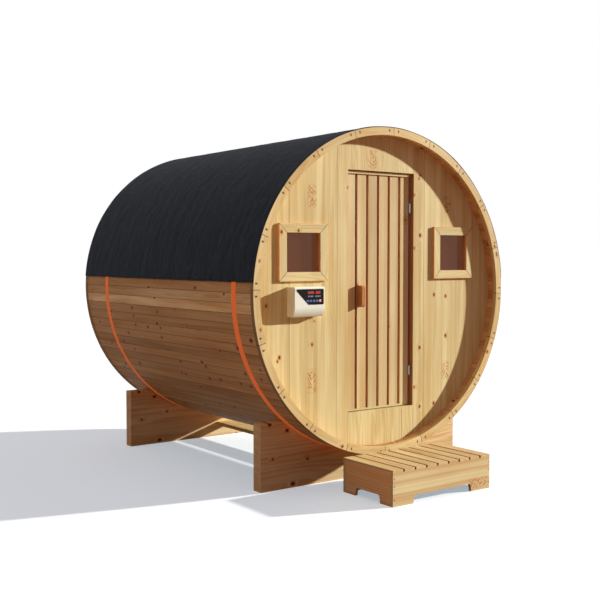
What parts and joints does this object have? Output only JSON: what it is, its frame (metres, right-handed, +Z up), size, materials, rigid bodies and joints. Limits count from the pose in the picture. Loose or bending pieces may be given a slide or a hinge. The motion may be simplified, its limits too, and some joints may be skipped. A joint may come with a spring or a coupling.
{
  "type": "barrel sauna",
  "caption": "Wooden barrel cabin on two cradles, with a recessed end wall, a hinged slatted door, small fixed windows, a felt roof skin, straps and a loose step.",
  "frame": {"origin": "on the ground, below the middle of the bounding box", "axes": "+Z up, -Y the side with the door, +X to the right of someone who faces the door"},
  "size_m": [2.1044, 2.858, 2.2912],
  "materials": {
    "stave_wood": "planed softwood, unpainted",
    "ring_wood": "planed pine, clear oiled",
    "wall_wood": "planed pine boards, clear oiled",
    "trim_wood": "planed pine, clear oiled",
    "door_wood": "planed pine slats, clear oiled",
    "door_backing_wood": "dark stained panel",
    "handle_wood": "sanded pine",
    "floor_wood": "planed softwood",
    "cradle_wood": "sawn softwood",
    "step_wood": "planed pine",
    "felt": "fine gritty bitumen felt",
    "strap_web": "woven orange webbing",
    "window_glass": "clear tinted reddish brown",
    "hinge_steel": "zinc plated",
    "case_plastic": "fine matt texture",
    "display_plastic": "polished"
  },
  "bodies": {
    "cabin": {"staves_odd": "stave_wood", "staves_even": "stave_wood", "ring_front": "ring_wood", "ring_back": "ring_wood", "front_wall_left": "wall_wood", "front_wall_right": "wall_wood", "front_wall_header": "wall_wood", "front_wall_sill": "wall_wood", "back_wall": "wall_wood", "window_frame_left": "trim_wood", "window_frame_right": "trim_wood", "window_bead_left": "trim_wood", "window_bead_right": "trim_wood", "window_glass_left": "window_glass", "window_glass_right": "window_glass", "door_jamb_left": "trim_wood", "door_jamb_right": "trim_wood", "door_head": "trim_wood", "door_threshold": "trim_wood", "hinge_jamb_leaves": "hinge_steel", "control_box": "case_plastic", "control_display": "display_plastic", "floor_boards": "floor_wood", "floor_bearers": "floor_wood", "roof_felt": "felt", "strap_front": "strap_web", "strap_rear": "strap_web", "cradle_front": "cradle_wood", "cradle_rear": "cradle_wood", "cradle_plank": "cradle_wood", "step_front_board": "step_wood", "step_back_board": "step_wood", "step_left_board": "step_wood", "step_right_board": "step_wood", "step_slats": "step_wood"},
    "door": {"door_backing": "door_backing_wood", "door_slats": "door_wood", "door_top_rail": "door_wood", "door_bottom_rail": "door_wood", "door_handle": "handle_wood", "hinge_door_leaves": "hinge_steel"}
  },
  "joints": [
    {"name": "door_hinge", "type": "hinge", "parent": "cabin", "child": "door", "pos_m": [0.26, -0.843, 1.2365], "axis": [0, 0, 1], "range_deg": [0, 110]}
  ]
}
